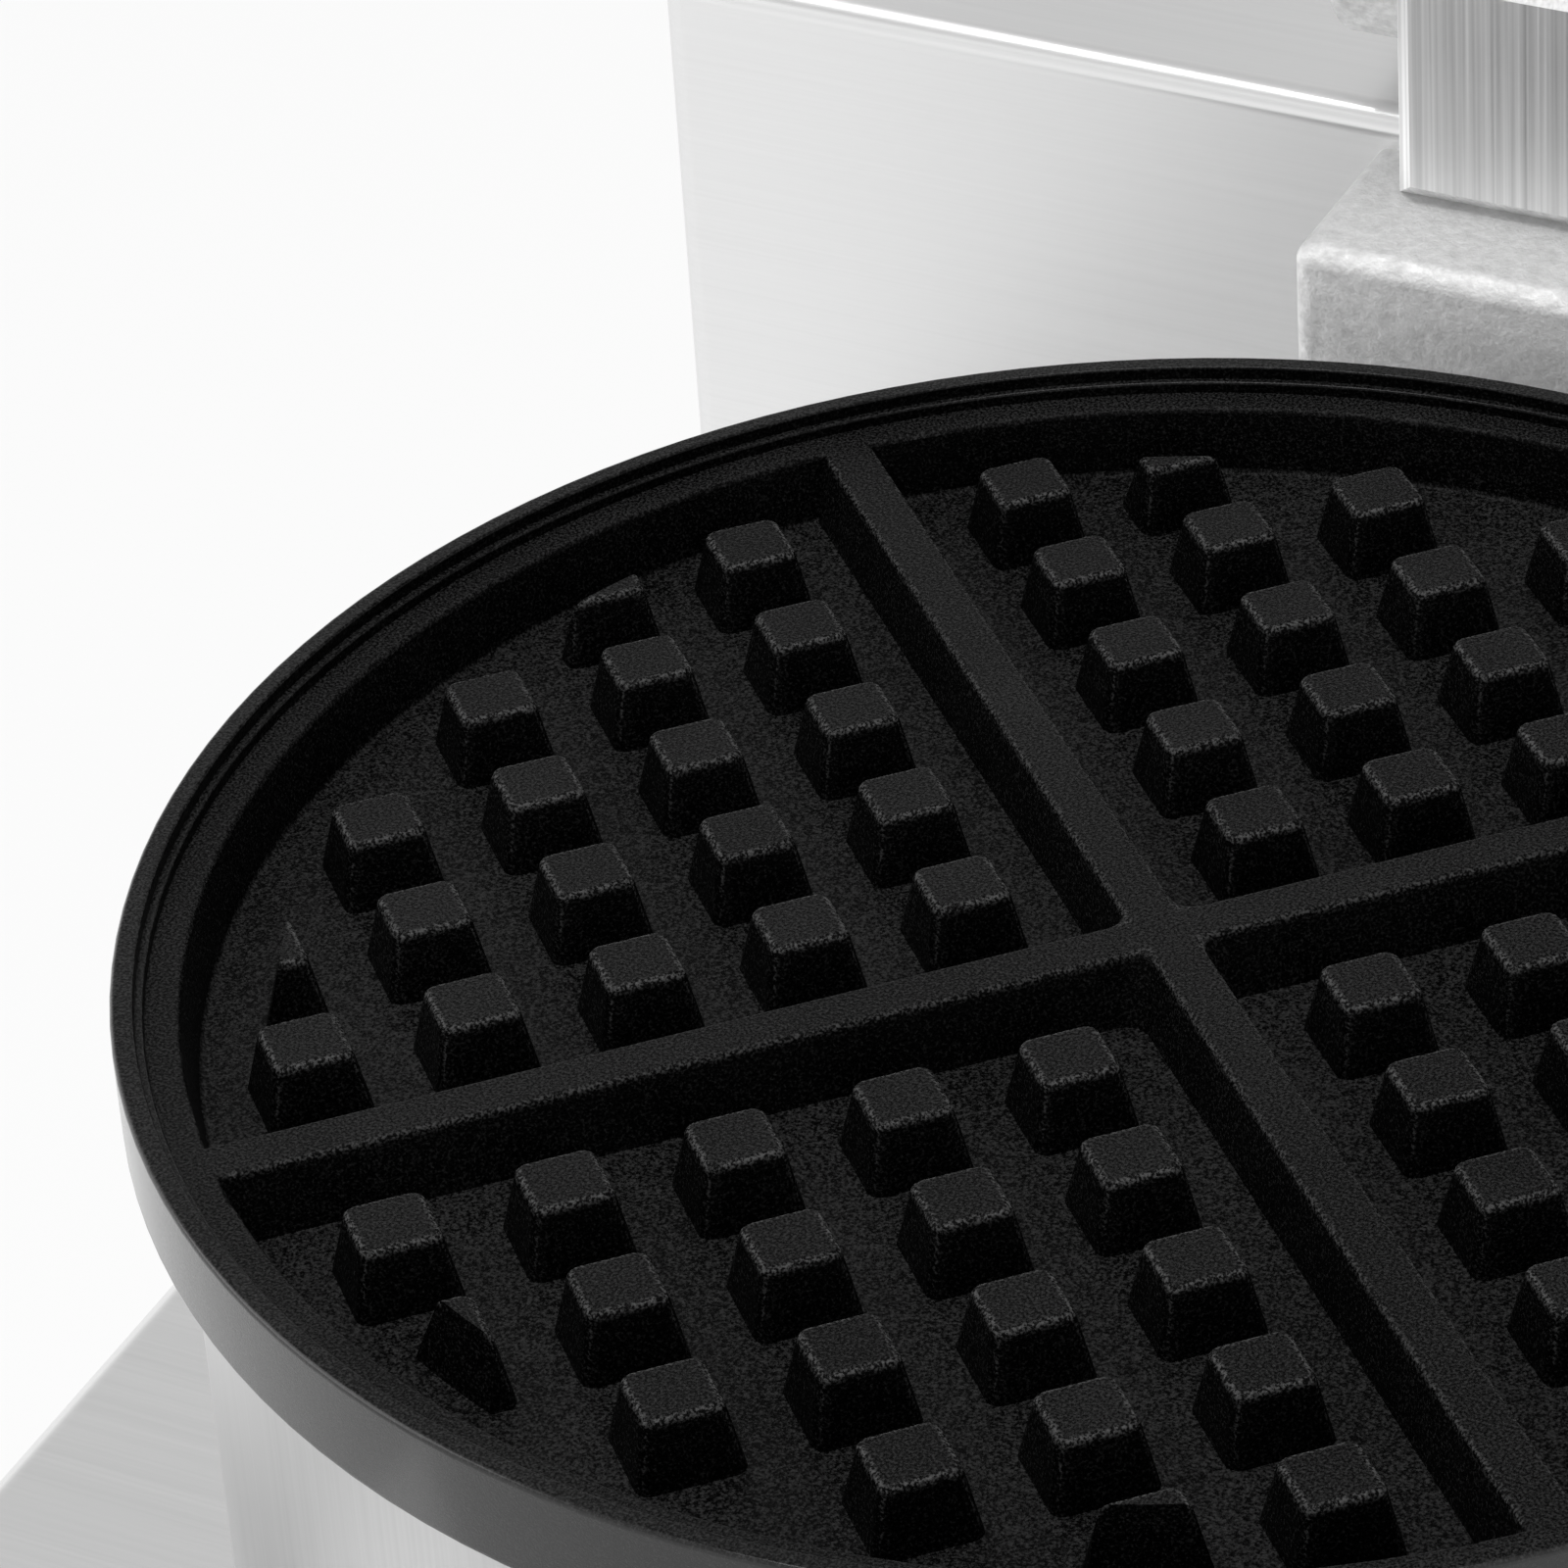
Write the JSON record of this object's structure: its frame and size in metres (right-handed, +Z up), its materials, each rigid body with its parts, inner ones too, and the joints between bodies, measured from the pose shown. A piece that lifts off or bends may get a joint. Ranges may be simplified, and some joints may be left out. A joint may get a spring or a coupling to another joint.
{
  "type": "waffle maker",
  "caption": "Counter-top round waffle maker: pegged non-stick plates, stainless body and column, cast hinge and a lid that swings up on a pin.",
  "frame": {"origin": "centre of the bounding box in plan, on the table under the feet", "axes": "+X to the user's right, +Y to the rear, +Z up; the lid stands open"},
  "size_m": [0.24, 0.3956, 0.5528],
  "materials": {
    "stainless": "brushed stainless sheet",
    "nonstick": "cast aluminium under a satin black non-stick coat",
    "cast_aluminium": "rough as-cast skin",
    "machined_aluminium": "machined and lightly brushed",
    "fastener_steel": "plain stainless",
    "rubber": "matt",
    "phenolic": "satin moulded",
    "black_nylon": "fine moulded grain",
    "rocker_black": "polished",
    "heater_steel": "dull sheathed steel",
    "mineral_wool": "fibrous",
    "amber_lens": "clear tinted",
    "green_lens": "clear tinted",
    "lead_sleeve": "woven glass sleeve",
    "terminal_white": "ceramic",
    "bronze": "sintered",
    "copper_tube": "drawn tube"
  },
  "bodies": {
    "base": {"base_shell": "stainless", "base_pan": "stainless", "column_shell": "stainless", "rear_cover": "stainless", "control_panel": "stainless", "lower_skirt": "stainless", "lower_plate": "nonstick", "hinge_block": "cast_aluminium", "hinge_post": "machined_aluminium", "foot_screws": "fastener_steel", "foot_nuts": "fastener_steel", "panel_screws": "fastener_steel", "plate_studs": "fastener_steel", "plate_nuts": "fastener_steel", "column_screws": "fastener_steel", "column_nuts": "fastener_steel", "rear_cover_screws": "fastener_steel", "backing_plate": "fastener_steel", "hinge_bolts": "fastener_steel", "post_screws": "fastener_steel", "hinge_pin": "fastener_steel", "hinge_clips": "fastener_steel", "rubber_feet": "rubber", "stop_bumpers": "rubber", "cable_gland": "black_nylon", "gland_nut": "black_nylon", "column_gland": "black_nylon", "switch_housing": "black_nylon", "thermostat": "black_nylon", "timer": "black_nylon", "lower_heater": "heater_steel", "lower_clamp": "heater_steel", "lower_insulation": "mineral_wool", "power_lamp": "amber_lens", "ready_lamp": "green_lens", "heater_leads": "lead_sleeve", "terminal_block": "terminal_white", "thermostat_capillary": "copper_tube"},
    "lid": {"lid_arm": "cast_aluminium", "hinge_bushes": "bronze", "lid_cover": "stainless", "upper_plate": "nonstick", "upper_heater": "heater_steel", "upper_clamp": "heater_steel", "upper_insulation": "mineral_wool", "lid_studs": "fastener_steel", "lid_nuts": "fastener_steel", "lid_gland": "black_nylon", "handle_bracket": "machined_aluminium", "handle_screws": "fastener_steel", "handle_rod": "fastener_steel", "handle_grip": "phenolic", "handle_cap": "phenolic"},
    "thermostat_control": {"thermostat_knob": "phenolic", "thermostat_spindle": "fastener_steel"},
    "timer_control": {"timer_knob": "phenolic", "timer_spindle": "fastener_steel"},
    "rocker": {"switch_rocker": "rocker_black"}
  },
  "joints": [
    {"name": "lid_hinge", "type": "hinge", "parent": "base", "child": "lid", "pos_m": [0, 0.10575, 0.212], "axis": [1, 0, 0], "range_deg": [0, 100]},
    {"name": "thermostat_turn", "type": "hinge", "parent": "base", "child": "thermostat_control", "pos_m": [-0.064, -0.17675, 0.05975], "axis": [0, 1, 0], "range_deg": [0, 270]},
    {"name": "timer_turn", "type": "hinge", "parent": "base", "child": "timer_control", "pos_m": [0.064, -0.17675, 0.05975], "axis": [0, 1, 0], "range_deg": [0, 300]},
    {"name": "rocker_tilt", "type": "hinge", "parent": "base", "child": "rocker", "pos_m": [0, -0.17175, 0.05975], "axis": [1, 0, 0], "range_deg": [-18, 0]}
  ]
}
